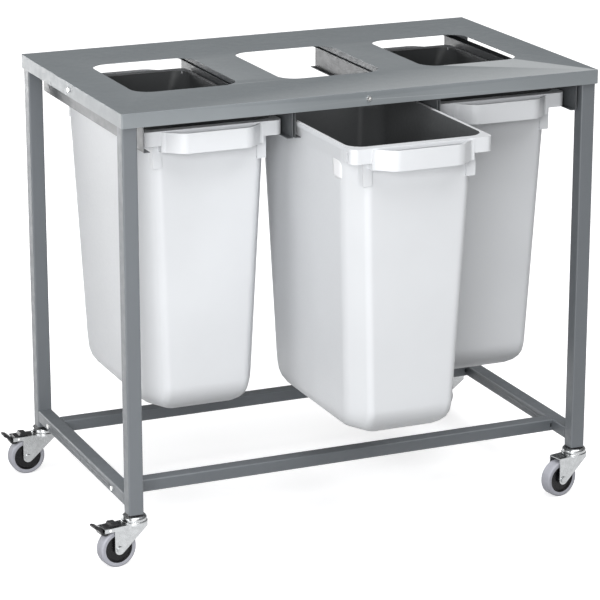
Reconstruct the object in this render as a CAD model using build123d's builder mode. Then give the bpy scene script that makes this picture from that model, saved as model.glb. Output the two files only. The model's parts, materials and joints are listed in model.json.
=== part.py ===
from build123d import *
from math import cos, radians, sin, sqrt
import os

os.makedirs("parts", exist_ok=True)

# Recycling bin station: a wheeled tube frame with a pressed steel top tray, three openings in the
# tray, and a lift-out sorting bin that slides on a pair of sheet rails under each opening.
# Millimetres. X runs across the width, Y from the front to the rear, Z up from the floor, and the
# origin is on the floor under the middle of the tray.

# ---- top tray ----
tray_width = 1000.0
tray_depth = 600.0
tray_top = 892.0
apron_height = 28.0
tray_sheet = 1.5
tray_corner = 3.0
tray_edge_round = 1.2
opening_width = 215.0
opening_depth = 282.0
opening_corner = 38.0
bay_pitch = 305.0

# ---- tube frame ----
tube_width = 30.0
beam_height = 25.0
tube_wall = 1.5
tube_corner = 3.0
leg_inset_x = 2.5
leg_inset_y = 6.5
castor_height = 100.0
side_rail_bottom = 112.0
stretcher_y = 197.0
bearer_width = 40.0
stretcher_notch_width = 5.0
stretcher_notch_height = 9.0

# ---- sheet rails that carry the bins ----
rail_sheet = 1.5
rail_length = 587.0
rail_flange = 20.0
rail_lip = 11.0
rail_drop = 51.0
rail_reach = 149.3
rail_screw_inset = 11.0
rail_screw_y = 282.0

# ---- fasteners ----
screw_radius = 2.4
screw_hole_radius = 2.6
screw_head_radius = 4.8
screw_head_height = 2.8
screw_socket_radius = 2.0
screw_socket_depth = 1.5
nut_radius = 4.2
nut_bore_radius = 2.45
nut_length = 9.0
plug_length = 22.0
plug_gap = 0.1

# ---- sorting bins ----
bin_rim_width = 288.0
bin_rim_length = 520.0
bin_rim_corner = 14.0
bin_rim_top = 843.0
bin_rim_sheet = 3.0
bin_rim_lip = 8.0
bin_floor_height = 262.0
bin_foot_height = 4.0
bin_top_half_x = 135.0
bin_top_half_y = 244.0
bin_draft = 24.0
bin_wall = 3.0
bin_facet_x = 28.0
bin_facet_y = 54.0
bin_end_round = 18.0
bin_side_round = 55.0
bin_bottom_round_x = 35.0
bin_bottom_round_y = 60.0
bin_bottom_steps = 7
bin_mouth_height = 45.0
bin_mouth_steps = 3
bin_mouth_flare = 8.0
bin_mouth_thickening = 3.0
bin_mouth_facet = 21.0
bin_mouth_round = 34.0
bin_skirt = 2.8
lug_start_x = 103.0
lug_side_length = 38.0
lug_slit_start = 16.0
lug_slit = 6.0
lug_slit_depth = 4.6
handle_reach = 28.0
handle_sheet = 3.0
handle_bottom = 802.0
handle_top = 841.0
handle_half_width = 104.0
handle_front_half_width = 68.0
handle_root_half_width = 97.0
handle_shoulder = 262.0
handle_bend = 30.0
handle_root_bend = 10.0
pillar_bottom = 768.0
pillar_x = 106.0
pillar_width = 18.0
pillar_front = 245.0
pillar_root = 212.0
running_gap = 0.3
middle_bin_pull = 280.0

# ---- castors ----
wheel_radius = 37.5
wheel_width = 25.0
wheel_shoulder = 4.0
tyre_inner_radius = 28.5
hub_boss_radius = 9.0
hub_boss_half = 14.2
hub_web_half = 9.0
hub_ring_half = 12.0
hub_ring_inner_radius = 25.5
castor_trail = 40.0
fork_inside = 14.5
fork_sheet = 2.2
fork_top = 84.0
fork_front = -20.0
fork_strip = 8.0
fork_end_radius = 10.5
race_radius = 26.0
race_top = 88.0
cup_radius = 24.5
cup_top = 97.5
cup_round = 6.0
race_round = 2.0
king_pin_radius = 6.0
king_pin_head_radius = 9.0
king_pin_bottom = 77.5
axle_radius = 4.0
axle_head_radius = 6.5
axle_head_height = 3.0
pin_gap = 0.05
fork_tail_braked = 72.0
fork_tail_plain = 50.5
slot_start = 27.0
slot_half_width = 12.0
slot_bridge = 2.2
pedal_pin_x = 60.0
pedal_pin_z = 80.0
pedal_pin_radius = 2.5
pedal_half_width = 11.5
insert_collar = 2.5
insert_depth = 30.0
stem_radius = 5.45
stem_top = 126.0
castor_headings = {
    "front_left": 188.0,
    "front_right": 192.0,
    "rear_left": 180.0,
    "rear_right": 170.0,
}
braked_castors = ("front_left", "rear_left")
# Side outline of a brake pedal, as distances behind the king pin and heights above the floor: the
# plate and its thumb bump on top, the paddle at the tail, and the shoe over the wheel.
pedal_outline = [
    (28, 80), (28, 84.5), (38, 84.5), (41, 90.5), (53.5, 91.5), (57, 86), (66, 84.5), (68.8, 82),
    (68.8, 76.8), (73.2, 76.4), (73.6, 80), (76, 86), (82, 90.5), (88.5, 92.3), (90.8, 91), (90, 87.5),
    (83, 83.5), (78.5, 78), (76, 72), (70, 69), (64, 69), (60, 73.5), (50, 76.5), (36, 77.5),
]

# ---- places worked out from the sizes above ----
leg_x = tray_width / 2 - leg_inset_x - tube_width / 2
leg_y = tray_depth / 2 - leg_inset_y - tube_width / 2
frame_top = tray_top - tray_sheet
beam_z = frame_top - beam_height / 2
beam_bottom = frame_top - beam_height
side_rail_z = side_rail_bottom + beam_height / 2
span_x = 2 * leg_x - tube_width
span_y = 2 * leg_y - tube_width
rail_top = beam_bottom
rail_lip_top = rail_top - rail_drop
bay_centres = {"left": -bay_pitch, "middle": 0.0, "right": bay_pitch}
bearer_x = bay_pitch / 2
sides = {"left": -1, "right": 1}
ends = {"front": -1, "rear": 1}


def save(builder, name):
    """Labels a finished piece and writes it."""
    builder.part.label = name
    export_step(builder.part, "parts/" + name + ".step")


def add_tube(plane, width, height, length):
    """Adds a rounded rectangular tube of the given length, centred on the plane's origin."""
    with BuildSketch(plane) as section:
        RectangleRounded(width, height, tube_corner)
        RectangleRounded(
            width - 2 * tube_wall, height - 2 * tube_wall, tube_corner - tube_wall, mode=Mode.SUBTRACT
        )
    extrude(section.sketch, amount=length / 2, both=True)


def cut_hole(origin, direction, radius, depth):
    """Cuts a round hole from origin along direction."""
    with BuildSketch(Plane(origin=origin, z_dir=direction)) as hole:
        Circle(radius)
    extrude(hole.sketch, amount=depth, mode=Mode.SUBTRACT)


def add_screw(origin, direction, length):
    """Adds a pan-head screw: its head stands on origin, and its shank runs along direction."""
    seat = Plane(origin=origin, z_dir=direction)
    with BuildSketch(seat) as head:
        Circle(screw_head_radius)
    extrude(head.sketch, amount=-screw_head_height)
    with BuildSketch(seat.offset(-screw_head_height)) as socket:
        RegularPolygon(screw_socket_radius, 6)
    extrude(socket.sketch, amount=screw_socket_depth, mode=Mode.SUBTRACT)
    with BuildSketch(seat) as shank:
        Circle(screw_radius)
    extrude(shank.sketch, amount=length)


def add_rivet_nut(origin, direction):
    """Adds a threaded insert whose body runs from origin along direction."""
    with BuildSketch(Plane(origin=origin, z_dir=direction)) as barrel:
        Circle(nut_radius)
        Circle(nut_bore_radius, mode=Mode.SUBTRACT)
    extrude(barrel.sketch, amount=nut_length)


# ======================= tray =======================
# The tray is a lid of folded sheet. Its four apron screws sit in the middle of each side.
apron_screw_z = tray_top - apron_height / 2
apron_screws = [
    ((0, -tray_depth / 2, apron_screw_z), (0, 1, 0)),
    ((0, tray_depth / 2, apron_screw_z), (0, -1, 0)),
    ((-tray_width / 2, 0, apron_screw_z), (1, 0, 0)),
    ((tray_width / 2, 0, apron_screw_z), (-1, 0, 0)),
]

with BuildPart() as tray:
    with BuildSketch(Plane.XY.offset(tray_top - apron_height)):
        RectangleRounded(tray_width, tray_depth, tray_corner)
    extrude(amount=apron_height)
    fillet(tray.edges().group_by(Axis.Z)[-1], tray_edge_round)
    with BuildSketch(Plane.XY.offset(tray_top - apron_height)):
        RectangleRounded(
            tray_width - 2 * tray_sheet, tray_depth - 2 * tray_sheet, tray_corner - tray_sheet
        )
    extrude(amount=apron_height - tray_sheet, mode=Mode.SUBTRACT)
    with BuildSketch(Plane.XY.offset(tray_top)):
        with GridLocations(bay_pitch, 0, 3, 1):
            RectangleRounded(opening_width, opening_depth, opening_corner)
    extrude(amount=-2 * tray_sheet, mode=Mode.SUBTRACT)
    for origin, direction in apron_screws:
        cut_hole(origin, direction, screw_hole_radius, 2 * tray_sheet)
save(tray, "tray_top")

sheet_screw_length = 16.0
with BuildPart() as tray_screws:
    for origin, direction in apron_screws:
        add_screw(origin, direction, sheet_screw_length)
save(tray_screws, "tray_screws")

with BuildPart() as tray_nuts:
    for origin, direction in apron_screws:
        inset = (leg_inset_x if direction[0] else leg_inset_y) + tube_wall
        add_rivet_nut(Vector(*origin) + Vector(*direction) * inset, direction)
save(tray_nuts, "tray_rivet_nuts")

# ======================= frame =======================
leg_length = frame_top - castor_height
leg_middle = (frame_top + castor_height) / 2
for end, sy in ends.items():
    for side, sx in sides.items():
        with BuildPart() as leg:
            add_tube(Plane(origin=(sx * leg_x, sy * leg_y, leg_middle)), tube_width, tube_width, leg_length)
        save(leg, "leg_" + end + "_" + side)

for side, sx in sides.items():
    with BuildPart() as top_tube:
        add_tube(Plane(origin=(sx * leg_x, 0, beam_z), x_dir=(1, 0, 0), z_dir=(0, -1, 0)),
                 tube_width, beam_height, span_y)
        cut_hole((sx * (leg_x + tube_width / 2), 0, apron_screw_z), (-sx, 0, 0),
                 screw_hole_radius, 2 * tube_wall)
    save(top_tube, "top_tube_" + side)

rail_screw_x = [
    centre + hand * (rail_reach - rail_screw_inset)
    for centre in bay_centres.values()
    for hand in (-1, 1)
]
for end, sy in ends.items():
    with BuildPart() as top_tube:
        add_tube(Plane(origin=(0, sy * leg_y, beam_z), x_dir=(0, 1, 0), z_dir=(1, 0, 0)),
                 tube_width, beam_height, span_x)
        cut_hole((0, sy * (leg_y + tube_width / 2), apron_screw_z), (0, -sy, 0),
                 screw_hole_radius, 2 * tube_wall)
        for x in rail_screw_x:
            cut_hole((x, sy * rail_screw_y, beam_bottom), (0, 0, 1), screw_hole_radius, 2 * tube_wall)
    save(top_tube, "top_tube_" + end)

for side, sx in sides.items():
    with BuildPart() as bearer:
        add_tube(Plane(origin=(sx * bearer_x, 0, beam_z), x_dir=(1, 0, 0), z_dir=(0, -1, 0)),
                 bearer_width, beam_height, span_y)
    save(bearer, "bearer_" + side)

for side, sx in sides.items():
    with BuildPart() as side_rail:
        add_tube(Plane(origin=(sx * leg_x, 0, side_rail_z), x_dir=(1, 0, 0), z_dir=(0, -1, 0)),
                 tube_width, beam_height, span_y)
        for sy in ends.values():
            cut_hole((sx * (leg_x + tube_width / 2), sy * stretcher_y, side_rail_z), (-sx, 0, 0),
                     screw_hole_radius, tube_width + 1)
    save(side_rail, "side_rail_" + side)

# Each stretcher's front wall has a small notch at both ends, which shows the screw.
for end, sy in ends.items():
    with BuildPart() as stretcher:
        add_tube(Plane(origin=(0, sy * stretcher_y, side_rail_z), x_dir=(0, 1, 0), z_dir=(1, 0, 0)),
                 tube_width, beam_height, span_x)
        with BuildSketch(Plane.XZ.offset(tube_width / 2 - sy * stretcher_y)):
            with Locations(*[(sx * span_x / 2, side_rail_z) for sx in sides.values()]):
                Rectangle(2 * stretcher_notch_width, stretcher_notch_height)
        extrude(amount=-2 * tube_wall, mode=Mode.SUBTRACT)
    save(stretcher, "stretcher_" + end)

stretcher_ends = [(sx, sy) for sx in sides.values() for sy in ends.values()]
with BuildPart() as end_plugs:
    for sx, sy in stretcher_ends:
        mouth = (sx * (span_x / 2 - stretcher_notch_width), sy * stretcher_y, side_rail_z)
        with BuildSketch(Plane(origin=mouth, x_dir=(0, 1, 0), z_dir=(-sx, 0, 0))):
            RectangleRounded(tube_width - 2 * tube_wall - 2 * plug_gap,
                             beam_height - 2 * tube_wall - 2 * plug_gap,
                             tube_corner - tube_wall)
            Circle(nut_bore_radius, mode=Mode.SUBTRACT)
        extrude(amount=plug_length)
save(end_plugs, "stretcher_end_plugs")

screw_tip_cover = 4.0
stretcher_screw_length = tube_width + stretcher_notch_width + plug_length - screw_tip_cover
with BuildPart() as stretcher_screws:
    for sx, sy in stretcher_ends:
        add_screw((sx * (leg_x + tube_width / 2), sy * stretcher_y, side_rail_z), (-sx, 0, 0),
                  stretcher_screw_length)
save(stretcher_screws, "stretcher_screws")

# ======================= bin rails =======================
# A rail is a C of sheet: a flange screwed up to the frame, a web, and a lip that the bin's lugs
# rest and slide on. Both the flange and the lip point towards the bin.
for bay, centre in bay_centres.items():
    for side, hand in sides.items():
        web_x = centre + hand * rail_reach
        with BuildPart() as rail:
            with BuildSketch(Plane.XZ.offset(rail_length / 2)) as section:
                with Locations((web_x + hand * rail_sheet / 2, rail_top - (rail_drop + rail_sheet) / 2)):
                    Rectangle(rail_sheet, rail_drop + rail_sheet)
                with Locations((web_x - hand * rail_flange / 2, rail_top - rail_sheet / 2)):
                    Rectangle(rail_flange, rail_sheet)
                with Locations((web_x - hand * rail_lip / 2, rail_lip_top - rail_sheet / 2)):
                    Rectangle(rail_lip, rail_sheet)
                fillet(section.vertices().group_by(Axis.X)[0 if hand < 0 else -1], rail_sheet)
            extrude(amount=-rail_length)
            for sy in ends.values():
                cut_hole((web_x - hand * rail_screw_inset, sy * rail_screw_y, rail_top - 2 * rail_sheet),
                         (0, 0, 1), screw_hole_radius, 3 * rail_sheet)
        save(rail, "bin_rail_" + bay + "_" + side)

with BuildPart() as rail_screws:
    for x in rail_screw_x:
        for sy in ends.values():
            add_screw((x, sy * rail_screw_y, rail_top - rail_sheet), (0, 0, 1), sheet_screw_length)
save(rail_screws, "rail_screws")


# ======================= sorting bins =======================
def body_section(origin, height, inset):
    """The bin body's eight-sided outline at a height, moved inwards by inset from its outside.

    Near the rim the long corner facets turn into even ones, so the mouth is a rounded rectangle.
    """
    drop = bin_draft * (bin_rim_top - height) / (bin_rim_top - bin_floor_height)
    blend = min(1.0, max(0.0, 1 - (bin_rim_top - height) / bin_mouth_height))
    rise = max(0.0, height - bin_floor_height - inset)
    half_x = bin_top_half_x + bin_mouth_flare * blend - drop - inset
    if inset:
        half_x -= bin_mouth_thickening * blend
    half_y = bin_top_half_y - drop - inset
    if rise < bin_bottom_round_x:
        half_x -= bin_bottom_round_x - sqrt(bin_bottom_round_x**2 - (bin_bottom_round_x - rise) ** 2)
    if rise < bin_bottom_round_y:
        half_y -= bin_bottom_round_y - sqrt(bin_bottom_round_y**2 - (bin_bottom_round_y - rise) ** 2)
    outer_x = bin_facet_x + (bin_mouth_facet - bin_facet_x) * blend
    outer_y = bin_facet_y + (bin_mouth_facet - bin_facet_y) * blend
    facet = sqrt(outer_x**2 + outer_y**2)
    slack = (outer_x + outer_y) / facet - 1
    facet_x = outer_x - inset * slack * facet / outer_y
    facet_y = outer_y - inset * slack * facet / outer_x
    corners = [
        (sx * x, sy * y)
        for sx, sy, order in ((1, 1, 1), (-1, 1, -1), (-1, -1, 1), (1, -1, -1))
        for x, y in ((half_x, half_y - facet_y), (half_x - facet_x, half_y))[::order]
    ]
    end_round = bin_end_round + (bin_mouth_round - bin_end_round) * blend - inset
    side_round = bin_side_round + (bin_mouth_round - bin_side_round) * blend - inset
    with BuildSketch(Plane(origin=(origin[0], origin[1], height))) as outline:
        Polygon(*corners, align=None)
        side_corners = [v for v in outline.vertices() if abs(abs(v.Y) - half_y + facet_y) < 1]
        fillet(side_corners, side_round)
        end_corners = [v for v in outline.vertices() if abs(abs(v.X) - half_x + facet_x) < 1]
        fillet(end_corners, end_round)
    return outline.sketch


def add_body(origin, inset, top, mode):
    """Adds or cuts the bin body, moved inwards by inset. Its sections crowd round the bottom edge."""
    bottom = bin_floor_height + inset
    turns = [radians(90.0 * step / bin_bottom_steps) for step in range(bin_bottom_steps + 1)]
    heights = [bottom + bin_bottom_round_y * (1 - cos(turn)) for turn in turns]
    heights += [top - bin_mouth_height * step / bin_mouth_steps for step in range(bin_mouth_steps, -1, -1)]
    sections = [body_section(origin, height, inset) for height in heights]
    loft(sections=[section.face() for section in sections], ruled=True, mode=mode)


def add_rim_ring(origin, bottom, top, lugs_only):
    """Adds a strip of the rim's skirt, all round or only at the four corners."""
    with BuildSketch(Plane(origin=(origin[0], origin[1], bottom))) as ring:
        RectangleRounded(bin_rim_width, bin_rim_length, bin_rim_corner)
        RectangleRounded(bin_rim_width - 2 * bin_skirt, bin_rim_length - 2 * bin_skirt,
                         bin_rim_corner - bin_skirt, mode=Mode.SUBTRACT)
        if lugs_only:
            Rectangle(2 * lug_start_x, bin_rim_length, mode=Mode.SUBTRACT)
            Rectangle(bin_rim_width, bin_rim_length - 2 * lug_side_length, mode=Mode.SUBTRACT)
    extrude(ring.sketch, amount=top - bottom)


def add_pillars(origin, sy):
    """Adds the two hollow pillars that brace the handle at one narrow end, open towards each other."""
    height = bin_rim_top - bin_rim_sheet - pillar_bottom
    centre_y = sy * (pillar_root + pillar_front) / 2
    with BuildSketch(Plane(origin=(origin[0], origin[1], pillar_bottom))) as pillars:
        with Locations(*[(sx * pillar_x, centre_y) for sx in sides.values()]):
            Rectangle(pillar_width, pillar_front - pillar_root)
    extrude(pillars.sketch, amount=height)
    with BuildSketch(Plane(origin=(origin[0], origin[1], pillar_bottom + bin_wall))) as pockets:
        with Locations(*[(sx * (pillar_x - bin_wall), centre_y - sy * bin_wall) for sx in sides.values()]):
            Rectangle(pillar_width, pillar_front - pillar_root)
    extrude(pockets.sketch, amount=height - bin_wall, mode=Mode.SUBTRACT)


def add_handle(origin, sy):
    """Adds the handle band at one narrow end."""
    root = bin_top_half_y - 2 * bin_wall
    front = bin_rim_length / 2 + handle_reach
    half = [(handle_front_half_width, front), (handle_root_half_width, handle_shoulder),
            (handle_half_width, handle_shoulder), (handle_half_width, root)]
    outline = half + [(-x, y) for x, y in reversed(half)]
    with BuildSketch(Plane(origin=(origin[0], origin[1], handle_bottom))) as band:
        Polygon(*[(x, sy * y) for x, y in outline], align=None)
        fillet([v for v in band.vertices() if abs(v.Y) > handle_shoulder + 1], handle_bend)
        shoulders = [v for v in band.vertices() if abs(abs(v.X) - handle_root_half_width) < 1]
        fillet(shoulders, handle_root_bend)
        offset(amount=-handle_sheet, mode=Mode.SUBTRACT)
    extrude(band.sketch, amount=handle_top - handle_bottom)


for bay, centre in bay_centres.items():
    origin = (centre, -middle_bin_pull if bay == "middle" else 0.0)
    with BuildPart() as sorting_bin:
        for sy in ends.values():
            add_pillars(origin, sy)
        add_body(origin, 0.0, bin_rim_top, Mode.ADD)
        with BuildSketch(Plane(origin=(origin[0], origin[1], bin_rim_top))) as rim:
            RectangleRounded(bin_rim_width, bin_rim_length, bin_rim_corner)
        extrude(rim.sketch, amount=-bin_rim_sheet)
        add_rim_ring(origin, bin_rim_top - bin_rim_lip, bin_rim_top - bin_rim_sheet, False)
        add_rim_ring(origin, rail_lip_top + running_gap, bin_rim_top - bin_rim_lip, True)
        for sy in ends.values():
            add_handle(origin, sy)
        with BuildSketch(Plane(origin=(origin[0], origin[1], rail_lip_top))) as slits:
            slit_y = bin_rim_length / 2 - lug_slit_start - lug_slit / 2
            with GridLocations(bin_rim_width, 2 * slit_y, 2, 2):
                Rectangle(2 * lug_slit_depth, lug_slit)
        extrude(slits.sketch, amount=bin_rim_top - bin_rim_lip - rail_lip_top, mode=Mode.SUBTRACT)
        foot = body_section(origin, bin_floor_height, 2 * bin_wall)
        extrude(foot, amount=-bin_foot_height)
        add_body(origin, bin_wall, bin_rim_top, Mode.SUBTRACT)
    save(sorting_bin, "bin_" + bay)


# ======================= castors =======================
def upright(swivel, v):
    """A plane along the fork at a distance v to its side: local X runs back, local Y runs up."""
    return Plane(origin=swivel.origin + swivel.y_dir * v, x_dir=swivel.x_dir, z_dir=-swivel.y_dir)


def level(swivel, height):
    """A horizontal plane at a height, turned with the castor."""
    return Plane(origin=swivel.origin + Vector(0, 0, height), x_dir=swivel.x_dir, z_dir=(0, 0, 1))


def turned(swivel):
    """A plane through the axle for turned profiles: local X runs along the axle, local Y outwards."""
    axle = swivel.origin + swivel.x_dir * castor_trail + Vector(0, 0, wheel_radius)
    return Plane(origin=axle, x_dir=swivel.y_dir, z_dir=swivel.x_dir * -1)


with BuildPart() as leg_inserts:
    bore = stem_radius + pin_gap
    inner = tube_width - 2 * tube_wall - 2 * plug_gap
    for sx, sy in stretcher_ends:
        with BuildSketch(Plane(origin=(sx * leg_x, sy * leg_y, castor_height - insert_collar))):
            RectangleRounded(tube_width, tube_width, tube_corner)
            Circle(bore, mode=Mode.SUBTRACT)
        extrude(amount=insert_collar)
        with BuildSketch(Plane(origin=(sx * leg_x, sy * leg_y, castor_height))):
            RectangleRounded(inner, inner, tube_corner - tube_wall)
            Circle(bore, mode=Mode.SUBTRACT)
        extrude(amount=insert_depth)
save(leg_inserts, "leg_inserts")

for place, heading in castor_headings.items():
    end, side = place.split("_")
    braked = place in braked_castors
    swivel = Plane(origin=(sides[side] * leg_x, ends[end] * leg_y, 0),
                   x_dir=(cos(radians(heading)), sin(radians(heading)), 0), z_dir=(0, 0, 1))

    with BuildPart() as head:
        with BuildSketch(level(swivel, race_top + running_gap)):
            Circle(cup_radius)
        cup = extrude(amount=cup_top - race_top - running_gap)
        fillet(cup.edges().group_by(Axis.Z)[-1], cup_round)
        with BuildSketch(level(swivel, cup_top)):
            Circle(stem_radius)
        extrude(amount=stem_top - cup_top)
        with BuildSketch(level(swivel, king_pin_bottom)):
            Circle(king_pin_radius)
        extrude(amount=race_top + running_gap - king_pin_bottom)
        with BuildSketch(level(swivel, king_pin_bottom)):
            Circle(king_pin_head_radius)
        extrude(amount=fork_top - fork_sheet - running_gap - king_pin_bottom)
    save(head, "castor_head_" + place)

    tail = fork_tail_braked if braked else fork_tail_plain
    trailing_edge = castor_trail + fork_end_radius
    with BuildPart() as fork:
        with BuildSketch(upright(swivel, 0)) as cheek:
            with Locations(((fork_front + trailing_edge) / 2, fork_top - fork_strip / 2)):
                Rectangle(trailing_edge - fork_front, fork_strip)
            with Locations((castor_trail, wheel_radius)):
                Circle(fork_end_radius)
            make_hull()
            with Locations(((tail + castor_trail) / 2, fork_top - fork_strip / 2)):
                Rectangle(tail - castor_trail, fork_strip)
        extrude(amount=fork_inside + fork_sheet, both=True)
        with BuildSketch(level(swivel, 0)):
            with Locations(((fork_front + tail) / 2, 0)):
                Rectangle(tail - fork_front + 2 * fork_strip, 2 * fork_inside)
        extrude(amount=fork_top - fork_sheet, mode=Mode.SUBTRACT)
        with BuildSketch(level(swivel, fork_top - fork_sheet)):
            Circle(race_radius)
        race = extrude(amount=race_top - fork_top + fork_sheet)
        fillet(race.edges().group_by(Axis.Z)[-1], race_round)
        with BuildSketch(level(swivel, 0)):
            Circle(king_pin_radius + pin_gap)
        extrude(amount=castor_height, mode=Mode.SUBTRACT)
        with BuildSketch(upright(swivel, 0)):
            with Locations((castor_trail, wheel_radius)):
                Circle(axle_radius + pin_gap)
        extrude(amount=race_radius, both=True, mode=Mode.SUBTRACT)
        if braked:
            slot_end = tail - slot_bridge
            with BuildSketch(level(swivel, fork_top)):
                with Locations(((slot_start + slot_end) / 2, 0)):
                    Rectangle(slot_end - slot_start, 2 * slot_half_width)
            extrude(amount=-fork_sheet, mode=Mode.SUBTRACT)
            with BuildSketch(upright(swivel, 0)):
                with Locations((tail - slot_bridge / 2, fork_top - fork_strip / 4)):
                    Rectangle(slot_bridge, fork_strip / 2)
            extrude(amount=fork_inside + fork_sheet, both=True)
            with BuildSketch(upright(swivel, 0)):
                with Locations((pedal_pin_x, pedal_pin_z)):
                    Circle(pedal_pin_radius + pin_gap)
            extrude(amount=race_radius, both=True, mode=Mode.SUBTRACT)
    save(fork, "castor_fork_" + place)

    axle_plane = turned(swivel)
    outer = fork_inside + fork_sheet
    with BuildPart() as axle:
        with BuildSketch(axle_plane):
            with Locations((0, axle_radius / 2)):
                Rectangle(2 * outer + 2 * axle_head_height, axle_radius)
            with Locations((outer + axle_head_height / 2, axle_head_radius / 2),
                           (-outer - axle_head_height / 2, axle_head_radius / 2)):
                Rectangle(axle_head_height, axle_head_radius)
        revolve(axis=Axis(axle_plane.origin, axle_plane.x_dir))
    save(axle, "castor_axle_" + place)

    with BuildPart() as hub:
        with BuildSketch(axle_plane):
            bore = axle_radius + pin_gap
            for half, low, high in ((hub_boss_half, bore, hub_boss_radius),
                                    (hub_web_half, hub_boss_radius, hub_ring_inner_radius),
                                    (hub_ring_half, hub_ring_inner_radius, tyre_inner_radius)):
                with Locations((0, (low + high) / 2)):
                    Rectangle(2 * half, high - low)
        revolve(axis=Axis(axle_plane.origin, axle_plane.x_dir))
    save(hub, "wheel_hub_" + place)

    with BuildPart() as tread:
        with BuildSketch(axle_plane) as tyre:
            with Locations((0, (tyre_inner_radius + wheel_radius) / 2)):
                Rectangle(wheel_width, wheel_radius - tyre_inner_radius)
            fillet(tyre.vertices().group_by(Axis.Y)[-1], wheel_shoulder)
        revolve(axis=Axis(axle_plane.origin, axle_plane.x_dir))
    save(tread, "wheel_tread_" + place)

    if braked:
        with BuildPart() as pin:
            with BuildSketch(upright(swivel, 0)):
                with Locations((pedal_pin_x, pedal_pin_z)):
                    Circle(pedal_pin_radius)
            extrude(amount=outer, both=True)
        save(pin, "brake_pin_" + place)

        with BuildPart() as pedal:
            with BuildSketch(upright(swivel, 0)) as lever:
                Polygon(*pedal_outline, align=None)
                with Locations((pedal_pin_x, pedal_pin_z)):
                    Circle(pedal_pin_radius + pin_gap, mode=Mode.SUBTRACT)
            extrude(amount=pedal_half_width, both=True)
        save(pedal, "brake_pedal_" + place)
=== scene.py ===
import json
from math import radians

import bmesh
import bpy
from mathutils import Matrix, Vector
from mathutils.bvhtree import BVHTree


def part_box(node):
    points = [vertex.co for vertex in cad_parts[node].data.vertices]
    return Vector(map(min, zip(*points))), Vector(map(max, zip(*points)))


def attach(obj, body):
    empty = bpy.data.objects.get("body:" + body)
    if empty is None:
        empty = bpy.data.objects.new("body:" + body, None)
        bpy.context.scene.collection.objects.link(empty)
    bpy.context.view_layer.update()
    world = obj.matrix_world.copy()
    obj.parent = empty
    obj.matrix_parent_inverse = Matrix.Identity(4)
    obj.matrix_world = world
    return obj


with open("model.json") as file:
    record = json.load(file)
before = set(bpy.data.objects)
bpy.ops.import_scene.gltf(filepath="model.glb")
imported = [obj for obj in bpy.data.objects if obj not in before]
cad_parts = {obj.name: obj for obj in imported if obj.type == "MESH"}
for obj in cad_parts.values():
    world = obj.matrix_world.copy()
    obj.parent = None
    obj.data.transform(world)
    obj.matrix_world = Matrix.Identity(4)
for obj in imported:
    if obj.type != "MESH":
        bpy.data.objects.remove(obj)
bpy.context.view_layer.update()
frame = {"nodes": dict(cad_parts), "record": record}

nodes = frame["nodes"]
scene = bpy.context.scene
BAYS = ("left", "middle", "right")

# ---- edges and shading of the CAD pieces ----
WELD_DISTANCE = 0.00001
BEVEL_SEGMENTS = 2
SHARP_ANGLE = 32
FACE_AREA_WEIGHT = 60

# ---- inner faces of a bin that get the painted shade: how far they lie from its middle, its rim and its foot ----
RIM_DEPTH = 0.004
BOTTOM_CURVE_HEIGHT = 0.08
BOTTOM_SLOPE = 0.3
INWARD_REACH = -0.002
INSIDE_HALF_WIDTH = 0.1372
INSIDE_HALF_LENGTH = 0.2412

# ---- blank label: its middle is a place along Y and Z on the left side of the middle bin ----
LABEL_Y = -0.449
LABEL_Z = 0.788
LABEL_SIDE = 0.036
LABEL_STEPS = 8
LABEL_CORNER_CLIP = 0.12
LABEL_CORNER_SHARPNESS = 6
LABEL_THICKNESS = 0.0002
LABEL_SEARCH_START = 0.05

# ---- studio ----
FLOOR_HALF_SIZE = 30.0
FLOOR_DROP = 0.0003
FLOOR_GLOW = 0.55
SKY_BELOW = 0.10
SKY_ABOVE = 0.30
SKY_FADE_START = -0.2
SKY_FADE_END = 0.5
SUN_STRENGTH = 2.4
SUN_SPREAD = 50
SUN_TILT = (22, 4)

# ---- camera ----
CAMERA_PLACE = (-2.126, -4.878, 2.001)
CAMERA_DOWN = 16.81
CAMERA_TURN = -23.42
CAMERA_LENS = 162.24
CAMERA_SENSOR = 36.0
CAMERA_REACH = 100.0


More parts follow.
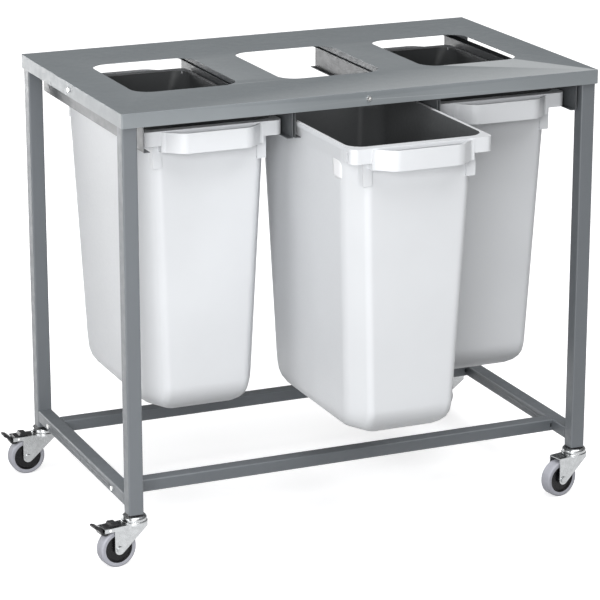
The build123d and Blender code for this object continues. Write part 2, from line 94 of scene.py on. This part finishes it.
# ======================= node helpers =======================
class Shader:
    """A material being built: keeps its tree and its principled shader."""

    def __init__(self, name, color, roughness, **inputs):
        self.material = bpy.data.materials.new(name)
        self.material.use_nodes = True
        self.tree = self.material.node_tree
        self.shader = self.tree.nodes["Principled BSDF"]
        self.shader.inputs["Base Color"].default_value = (*color, 1)
        self.shader.inputs["Roughness"].default_value = roughness
        for socket, value in inputs.items():
            self.shader.inputs[socket.replace("_", " ")].default_value = value
        coords = self.add("ShaderNodeTexCoord")
        self.place = coords.outputs["Object"]

    def add(self, kind, **settings):
        node = self.tree.nodes.new(kind)
        for key, value in settings.items():
            setattr(node, key, value)
        return node

    def link(self, source, target):
        self.tree.links.new(source, target)

    def noise(self, scale, detail=4.0, roughness=0.5, stretch=(1, 1, 1)):
        """Noise at a scale in cycles per metre, optionally stretched along an axis."""
        mapping = self.add("ShaderNodeMapping")
        mapping.inputs["Scale"].default_value = stretch
        self.link(self.place, mapping.inputs["Vector"])
        texture = self.add("ShaderNodeTexNoise")
        texture.inputs["Scale"].default_value = scale
        texture.inputs["Detail"].default_value = detail
        texture.inputs["Roughness"].default_value = roughness
        self.link(mapping.outputs["Vector"], texture.inputs["Vector"])
        return texture.outputs["Fac"]

    def span(self, source, low, high, start=0.3, end=0.7):
        """Maps a 0 to 1 source onto the range low to high."""
        ranger = self.add("ShaderNodeMapRange")
        ranger.inputs["From Min"].default_value = start
        ranger.inputs["From Max"].default_value = end
        ranger.inputs["To Min"].default_value = low
        ranger.inputs["To Max"].default_value = high
        self.link(source, ranger.inputs["Value"])
        return ranger.outputs["Result"]

    def mix(self, factor, first, second):
        """Mixes two colours, each a tuple or a socket, by a factor socket."""
        mixer = self.add("ShaderNodeMix", data_type="RGBA")
        self.link(factor, mixer.inputs[0])
        for socket, value in ((mixer.inputs[6], first), (mixer.inputs[7], second)):
            if isinstance(value, tuple):
                socket.default_value = (*value, 1)
            else:
                self.link(value, socket)
        return mixer.outputs[2]

    def bump(self, height, strength, distance, normal=None):
        bumper = self.add("ShaderNodeBump")
        bumper.inputs["Strength"].default_value = strength
        bumper.inputs["Distance"].default_value = distance
        self.link(height, bumper.inputs["Height"])
        if normal is not None:
            self.link(normal, bumper.inputs["Normal"])
        return bumper.outputs["Normal"]

    def rubbed_edge_and_highlight(self):
        """Mask for rubbed wear and a painted edge highlight: 0 on flat areas to 1 on sharp outer
        edges.
        """
        geometry = self.add("ShaderNodeNewGeometry")
        return self.span(geometry.outputs["Pointiness"], low=0.0, high=1.0, start=0.52, end=0.6)

    def color(self, socket):
        self.link(socket, self.shader.inputs["Base Color"])

    def roughness(self, socket):
        self.link(socket, self.shader.inputs["Roughness"])

    def normal(self, socket):
        self.link(socket, self.shader.inputs["Normal"])


def powder_coat(name, color, light, roughness):
    """Satin powder coat: orange-peel bump, faint mottling, and lighter edges that are partly
    rubbed wear and partly a painted highlight.
    """
    paint = Shader(name, color, roughness)
    cloud = paint.span(paint.noise(scale=9.0), low=0.0, high=1.0)
    shade = tuple(0.93 * channel for channel in color)
    base = paint.mix(cloud, shade, color)
    # the lighter edge colour is partly rubbed wear and partly a painted highlight along the
    # edges
    paint.color(paint.mix(paint.rubbed_edge_and_highlight(), base, light))
    gloss = paint.noise(scale=60.0, detail=6.0)
    paint.roughness(paint.span(gloss, low=roughness - 0.05, high=roughness + 0.07))
    peel = paint.bump(paint.noise(scale=900.0, detail=2.0), strength=0.16, distance=0.0006)
    grain = paint.noise(scale=3600.0, detail=1.0)
    paint.normal(paint.bump(grain, strength=0.1, distance=0.0002, normal=peel))
    return paint.material


def moulded_plastic(name, color, roughness, grain=0.25, **inputs):
    """Injection-moulded plastic: fine spark-eroded grain, slow colour drift and scuffs."""
    plastic = Shader(name, color, roughness, **inputs)
    drift = plastic.span(plastic.noise(scale=5.0), low=0.0, high=1.0)
    shade = tuple(0.95 * channel for channel in color)
    streaks = plastic.noise(scale=22.0, detail=8.0, roughness=0.75, stretch=(1, 1, 5))
    scuffs = plastic.span(streaks, low=0.0, high=0.25, start=0.62, end=0.75)
    scuffed = tuple(min(1.0, 0.9 * channel + 0.02) for channel in color)
    plastic.color(plastic.mix(scuffs, plastic.mix(drift, shade, color), scuffed))
    gloss = plastic.noise(scale=140.0, detail=5.0)
    plastic.roughness(plastic.span(gloss, low=roughness - 0.06, high=roughness + 0.08))
    pits = plastic.noise(scale=2600.0, detail=3.0)
    plastic.normal(plastic.bump(pits, strength=grain, distance=0.0003))
    return plastic.material


def zinc_plate(name, color, roughness):
    """Bright zinc plate: drawn lines, a faint spangle and duller patches."""
    metal = Shader(name, color, roughness, Metallic=1.0)
    patch = metal.span(metal.noise(scale=120.0, detail=5.0), low=0.0, high=1.0)
    shade = tuple(0.82 * channel for channel in color)
    metal.color(metal.mix(patch, shade, color))
    gloss = metal.noise(scale=260.0, detail=4.0, roughness=0.6, stretch=(1, 1, 4))
    metal.roughness(metal.span(gloss, low=roughness - 0.08, high=roughness + 0.14))
    lines = metal.noise(scale=1500.0, detail=3.0, roughness=0.6, stretch=(1, 1, 6))
    metal.normal(metal.bump(lines, strength=0.18, distance=0.0002))
    return metal.material


def tyre_rubber(name, color):
    """Non-marking grey rubber with fine moulding grain and floor dust."""
    rubber = Shader(name, color, 0.6)
    dust = rubber.span(rubber.noise(scale=70.0, detail=6.0, roughness=0.6), low=0.0, high=0.5)
    rubber.color(rubber.mix(dust, color, tuple(0.72 * channel for channel in color)))
    gloss = rubber.noise(scale=300.0, detail=4.0)
    rubber.roughness(rubber.span(gloss, low=0.5, high=0.72))
    grain = rubber.noise(scale=2200.0, detail=3.0)
    rubber.normal(rubber.bump(grain, strength=0.3, distance=0.0003))
    return rubber.material


# each coat's second colour goes on its edges: partly rubbed wear, partly a painted highlight
TRAY = powder_coat("tray_paint", (0.180, 0.198, 0.210), (0.42, 0.44, 0.45), 0.44)
FRAME = powder_coat("frame_paint", (0.105, 0.116, 0.127), (0.22, 0.235, 0.25), 0.44)
RAIL = powder_coat("rail_paint", (0.060, 0.065, 0.070), (0.14, 0.15, 0.155), 0.42)
BIN = moulded_plastic("bin_plastic", (0.64, 0.655, 0.675), 0.42)
# painted shade: a near-black copy of the bin plastic for the inner faces, standing in for the
# shade inside the bins
BIN_INSIDE_SHADE = moulded_plastic("bin_inside_painted_shade", (0.085, 0.089, 0.092), 0.55)
BLACK = moulded_plastic("black_plastic", (0.010, 0.010, 0.011), 0.34, Specular_IOR_Level=0.3)
HUB = moulded_plastic("hub_plastic", (0.006, 0.006, 0.007), 0.28, 0.1, Specular_IOR_Level=0.2)
ZINC = zinc_plate("zinc_steel", (0.42, 0.43, 0.435), 0.22)
SCREW = zinc_plate("screw_zinc", (0.93, 0.93, 0.92), 0.36)
LABEL = moulded_plastic("label_paper", (0.86, 0.865, 0.88), 0.35, 0.08)
TYRE = tyre_rubber("tyre_rubber", (0.36, 0.365, 0.405))
SLOT_MATERIALS = {
    "tray_paint": TRAY,
    "frame_paint": FRAME,
    "rail_paint": RAIL,
    "bin_plastic": BIN,
    "black_plastic": BLACK,
    "hub_plastic": HUB,
    "zinc_steel": ZINC,
    "screw_zinc": SCREW,
    "tyre_rubber": TYRE,
}
NODE_SLOTS = {part["node"]: part["material_slot"] for part in frame["record"]["subparts"]}

# ======================= CAD pieces: round the edges, smooth the shading =======================
EDGE_ROUNDS = {
    "tray_paint": 0.0018,
    "frame_paint": 0.0005,
    "rail_paint": 0.0004,
    "bin_plastic": 0.0008,
    "black_plastic": 0.0008,
    "hub_plastic": 0.0008,
    "zinc_steel": 0.0006,
    "screw_zinc": 0.0004,
    "tyre_rubber": 0.0006,
}


def soften(obj, width):
    """Welds the imported faces together, rounds their sharp edges and smooths the shading."""
    weld = obj.modifiers.new("weld", "WELD")
    weld.merge_threshold = WELD_DISTANCE
    bevel = obj.modifiers.new("edge_round", "BEVEL")
    bevel.width = width
    bevel.segments = BEVEL_SEGMENTS
    bevel.limit_method = "ANGLE"
    bevel.angle_limit = radians(SHARP_ANGLE)
    normals = obj.modifiers.new("flat_faces", "WEIGHTED_NORMAL")
    normals.weight = FACE_AREA_WEIGHT
    if "custom_normal" in obj.data.attributes:
        obj.data.attributes.remove(obj.data.attributes["custom_normal"])
    for polygon in obj.data.polygons:
        polygon.use_smooth = True


for name, obj in nodes.items():
    slot = NODE_SLOTS[name]
    obj.data.materials.clear()
    obj.data.materials.append(SLOT_MATERIALS[slot])
    soften(obj, EDGE_ROUNDS[slot])


# ======================= bins: painted shade inside, and a label ================
def paint_inside_shade(name):
    """Paints shade onto the inner faces of a bin: they get a darker material that stands in for
    the shade inside.
    """
    bin_object = nodes[name]
    low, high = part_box(name)
    centre = (low + high) / 2
    bin_object.data.materials.append(BIN_INSIDE_SHADE)
    for polygon in bin_object.data.polygons:
        outward = polygon.center - centre
        reach = polygon.normal.x * outward.x + polygon.normal.y * outward.y
        faces_up = polygon.normal.z > BOTTOM_SLOPE
        above_floor = faces_up and polygon.center.z < low.z + BOTTOM_CURVE_HEIGHT
        below_rim = polygon.center.z < high.z - RIM_DEPTH
        within = abs(outward.x) < INSIDE_HALF_WIDTH and abs(outward.y) < INSIDE_HALF_LENGTH
        if below_rim and within and (reach < INWARD_REACH or above_floor):
            polygon.material_index = 1


def blank_label(name, bin_name, body):
    """A blank paper label with clipped corners, laid on the left side of a bin."""
    label = bmesh.new()
    rows = []
    surface = BVHTree.FromObject(nodes[bin_name], bpy.context.evaluated_depsgraph_get())
    start_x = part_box(bin_name)[0].x - LABEL_SEARCH_START
    spots = [2 * step / LABEL_STEPS - 1 for step in range(LABEL_STEPS + 1)]
    for v in spots:
        row = []
        for u in spots:
            reach = 1 - LABEL_CORNER_CLIP * (abs(u) * abs(v)) ** LABEL_CORNER_SHARPNESS
            y = LABEL_Y + u * reach * LABEL_SIDE / 2
            z = LABEL_Z + v * reach * LABEL_SIDE / 2
            hit = surface.ray_cast(Vector((start_x, y, z)), Vector((1, 0, 0)))[0]
            row.append(label.verts.new((hit.x - LABEL_THICKNESS, y, z)))
        rows.append(row)
    for lower, upper in zip(rows, rows[1:]):
        for step in range(LABEL_STEPS):
            label.faces.new((lower[step], upper[step], upper[step + 1], lower[step + 1]))
    data = bpy.data.meshes.new(name)
    label.to_mesh(data)
    label.free()
    for polygon in data.polygons:
        polygon.use_smooth = True
    paper = bpy.data.objects.new(name, data)
    solid = paper.modifiers.new("paper", "SOLIDIFY")
    solid.thickness = LABEL_THICKNESS
    data.materials.append(LABEL)
    scene.collection.objects.link(paper)
    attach(paper, body)


for bay in BAYS:
    paint_inside_shade("bin_" + bay)
blank_label("bin_label", "bin_middle", "bin_middle_body")

# ======================= floor, light and camera =======================
floor_mesh = bmesh.new()
bmesh.ops.create_grid(floor_mesh, x_segments=8, y_segments=8, size=FLOOR_HALF_SIZE)
floor_data = bpy.data.meshes.new("studio_floor")
floor_mesh.to_mesh(floor_data)
floor_mesh.free()
floor = bpy.data.objects.new("studio_floor", floor_data)
floor.location.z = -FLOOR_DROP
scene.collection.objects.link(floor)
floor_glow = {"Emission_Color": (1, 1, 1, 1), "Emission_Strength": FLOOR_GLOW}
floor_look = Shader("studio_floor", (0.85, 0.85, 0.86), 0.28, **floor_glow)
floor_look.roughness(floor_look.span(floor_look.noise(scale=3.0), low=0.24, high=0.32))
floor_look.material.cycles.emission_sampling = "NONE"
floor.data.materials.append(floor_look.material)
floor.visible_diffuse = False

world = bpy.data.worlds.new("studio")
world.use_nodes = True
sky = world.node_tree.nodes["Background"]
sky.inputs["Color"].default_value = (1.0, 1.0, 1.0, 1)
sky_coords = world.node_tree.nodes.new("ShaderNodeTexCoord")
sky_split = world.node_tree.nodes.new("ShaderNodeSeparateXYZ")
sky_height = world.node_tree.nodes.new("ShaderNodeMapRange")
sky_height.inputs["From Min"].default_value = SKY_FADE_START
sky_height.inputs["From Max"].default_value = SKY_FADE_END
sky_height.inputs["To Min"].default_value = SKY_BELOW
sky_height.inputs["To Max"].default_value = SKY_ABOVE
world.node_tree.links.new(sky_coords.outputs["Generated"], sky_split.inputs["Vector"])
world.node_tree.links.new(sky_split.outputs["Z"], sky_height.inputs["Value"])
world.node_tree.links.new(sky_height.outputs["Result"], sky.inputs["Strength"])
scene.world = world
scene.view_settings.view_transform = "Standard"


def softbox(name, place, target, width, height, watts):
    """A rectangular area light that faces a target. Places and sizes are in metres."""
    data = bpy.data.lights.new(name, "AREA")
    data.shape = "RECTANGLE"
    data.size = width
    data.size_y = height
    data.energy = watts
    light = bpy.data.objects.new(name, data)
    light.location = place
    light.rotation_euler = (Vector(target) - Vector(place)).to_track_quat("-Z", "Y").to_euler()
    scene.collection.objects.link(light)


softbox("front", (-1.5, -2.6, 1.3), (-0.2, -0.2, 0.5), width=1.5, height=1.5, watts=72)
softbox("left", (-3.2, -0.8, 0.9), (-0.4, -0.2, 0.5), width=1.5, height=1.5, watts=30)
softbox("rear", (-1.6, 2.9, 0.7), (0.1, 0.1, 0.5), width=1.5, height=1.2, watts=30)
sun_data = bpy.data.lights.new("overhead", "SUN")
sun_data.energy = SUN_STRENGTH
sun_data.angle = radians(SUN_SPREAD)
sun = bpy.data.objects.new("overhead", sun_data)
sun.rotation_euler = (radians(SUN_TILT[0]), radians(SUN_TILT[1]), 0)
scene.collection.objects.link(sun)

camera_data = bpy.data.cameras.new("camera")
camera_data.sensor_width = CAMERA_SENSOR
camera_data.lens = CAMERA_LENS
camera = bpy.data.objects.new("camera", camera_data)
camera.location = CAMERA_PLACE
camera.rotation_euler = (radians(90 - CAMERA_DOWN), 0, radians(CAMERA_TURN))
camera_data.clip_end = CAMERA_REACH
scene.collection.objects.link(camera)
scene.camera = camera
